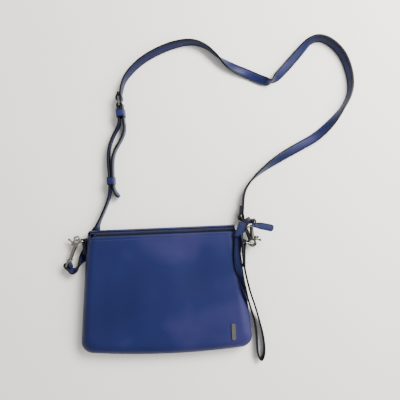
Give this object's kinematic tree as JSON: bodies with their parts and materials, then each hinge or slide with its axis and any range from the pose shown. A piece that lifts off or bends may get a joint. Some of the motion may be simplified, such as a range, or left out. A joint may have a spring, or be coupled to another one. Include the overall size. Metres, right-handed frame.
{
  "type": "sling bag",
  "caption": "Slim zip-top sling bag lying on its back, with a clip-on shoulder strap, pin buckle and a clip-on wrist loop.",
  "frame": {"origin": "middle of the back panel's flat, on the surface the bag lies on", "axes": "+X to the bag's right, +Y from base to zip, +Z out of the front panel"},
  "size_m": [0.3826, 0.4202, 0.0344],
  "materials": {
    "blue_leather": "smooth satin, fine grain",
    "dark_leather": "matt, cut edges painted black",
    "strap_leather": "satin with black painted edges",
    "lining_cloth": "plain woven lining",
    "zip_tape": "woven tape",
    "zip_coil": "nylon coil",
    "nickel": "polished nickel plate",
    "spring_steel": "plain"
  },
  "bodies": {
    "bag": {"back_panel": "blue_leather", "buckle_frame": "nickel", "emblem": "nickel", "front_panel": "blue_leather", "keeper_lower": "strap_leather", "left_side_tab": "dark_leather", "lining_back": "lining_cloth", "lining_front": "lining_cloth", "right_side_tab": "dark_leather", "slip_pocket": "lining_cloth", "strap_fold_buckle": "strap_leather", "strap_fold_left": "strap_leather", "strap_fold_right": "strap_leather", "strap_lower": "strap_leather", "strap_tail": "strap_leather", "strap_turn": "strap_leather", "strap_under_corner": "strap_leather", "strap_upper": "strap_leather", "wrist_strap": "strap_leather", "wrist_tab": "strap_leather", "zip_coil_back": "zip_coil", "zip_coil_front": "zip_coil", "zip_stops": "nickel", "zip_tape_back": "zip_tape", "zip_tape_front": "zip_tape"},
    "zip_slider": {"zip_slider": "nickel"},
    "zip_pull_link": {"zip_pull_link": "nickel"},
    "zip_pull": {"zip_pull_leather": "strap_leather", "zip_pull_rivet": "nickel"},
    "left_d_ring": {"left_d_ring": "nickel"},
    "right_d_ring": {"right_d_ring": "nickel"},
    "left_clasp_eye": {"left_clasp_eye": "nickel"},
    "left_clasp_hook": {"left_clasp_hook": "nickel", "left_clasp_gate_pin": "spring_steel", "left_clasp_gate_spring": "spring_steel"},
    "left_clasp_gate": {"left_clasp_gate": "nickel"},
    "right_clasp_eye": {"right_clasp_eye": "nickel"},
    "right_clasp_hook": {"right_clasp_hook": "nickel", "right_clasp_gate_pin": "spring_steel", "right_clasp_gate_spring": "spring_steel"},
    "right_clasp_gate": {"right_clasp_gate": "nickel"},
    "wrist_clasp_eye": {"wrist_clasp_eye": "nickel"},
    "wrist_clasp_hook": {"wrist_clasp_hook": "nickel", "wrist_clasp_gate_pin": "spring_steel", "wrist_clasp_gate_spring": "spring_steel"},
    "wrist_clasp_gate": {"wrist_clasp_gate": "nickel"},
    "buckle_prong": {"buckle_prong": "nickel"},
    "keeper_upper": {"keeper_upper": "strap_leather"}
  },
  "joints": [
    {"name": "zip_slide", "type": "slide", "parent": "bag", "child": "zip_slider", "axis": [-1, 0, 0], "range_m": [0, 0.176]},
    {"name": "pull_link_hinge", "type": "hinge", "parent": "zip_slider", "child": "zip_pull_link", "pos_m": [0.1005, 0.08155, 0.0229], "axis": [0, -0.6069, 0.7948], "range_deg": [-5, 8]},
    {"name": "pull_hinge", "type": "hinge", "parent": "zip_pull_link", "child": "zip_pull", "pos_m": [0.1155, 0.08155, 0.0229], "axis": [0, -0.6069, 0.7948], "range_deg": [-12, 45]},
    {"name": "left_d_ring_hinge", "type": "hinge", "parent": "bag", "child": "left_d_ring", "pos_m": [-0.1005, 0.069, 0.0119], "axis": [0, 0, -1], "range_deg": [-2.5, 2.5]},
    {"name": "right_d_ring_hinge", "type": "hinge", "parent": "bag", "child": "right_d_ring", "pos_m": [0.1048, 0.0595, 0.0119], "axis": [0, 0, -1], "range_deg": [-2.5, 2.5]},
    {"name": "left_eye_hinge", "type": "hinge", "parent": "bag", "child": "left_clasp_eye", "pos_m": [-0.1245, 0.038, 0.0085], "axis": [0, 0, 1], "range_deg": [-1, 1]},
    {"name": "left_swivel", "type": "hinge", "parent": "left_clasp_eye", "child": "left_clasp_hook", "pos_m": [-0.1245, 0.038, 0.0085], "axis": [0.3738, 0.9275, 0], "range_deg": [-20, 20]},
    {"name": "left_gate_hinge", "type": "hinge", "parent": "left_clasp_hook", "child": "left_clasp_gate", "pos_m": [-0.11651, 0.06691, 0.0085], "axis": [0, 0, -1], "range_deg": [0, 18], "stiffness_Nm_per_rad": 0.004, "springref_deg": -11.46},
    {"name": "right_eye_hinge", "type": "hinge", "parent": "bag", "child": "right_clasp_eye", "pos_m": [0.1025, 0.091, 0.0085], "axis": [0, 0, 1], "range_deg": [-1, 1]},
    {"name": "right_swivel", "type": "hinge", "parent": "right_clasp_eye", "child": "right_clasp_hook", "pos_m": [0.1025, 0.091, 0.0085], "axis": [0.3532, -0.9355, 0], "range_deg": [-20, 20]},
    {"name": "right_gate_hinge", "type": "hinge", "parent": "right_clasp_hook", "child": "right_clasp_gate", "pos_m": [0.11621, 0.06432, 0.0085], "axis": [0, 0, -1], "range_deg": [0, 18], "stiffness_Nm_per_rad": 0.004, "springref_deg": -11.46},
    {"name": "wrist_eye_hinge", "type": "hinge", "parent": "bag", "child": "wrist_clasp_eye", "pos_m": [0.1145, 0.086, 0.0153], "axis": [-0.9996, -0.0277, 0], "range_deg": [-2.5, 2.5]},
    {"name": "wrist_swivel", "type": "hinge", "parent": "wrist_clasp_eye", "child": "wrist_clasp_hook", "pos_m": [0.1145, 0.086, 0.0153], "axis": [0.0277, -0.9996, 0], "range_deg": [-20, 20]},
    {"name": "wrist_gate_hinge", "type": "hinge", "parent": "wrist_clasp_hook", "child": "wrist_clasp_gate", "pos_m": [0.11853, 0.0633, 0.0153], "axis": [0, 0, -1], "range_deg": [0, 18], "stiffness_Nm_per_rad": 0.004, "springref_deg": -11.46},
    {"name": "prong_hinge", "type": "hinge", "parent": "bag", "child": "buckle_prong", "pos_m": [-0.049, 0.252, 0.0085], "axis": [0, 0, 1], "range_deg": [0, 50]},
    {"name": "keeper_slide", "type": "slide", "parent": "bag", "child": "keeper_upper", "axis": [0.06, -0.9982, 0], "range_m": [-0.003, 0.003]}
  ]
}
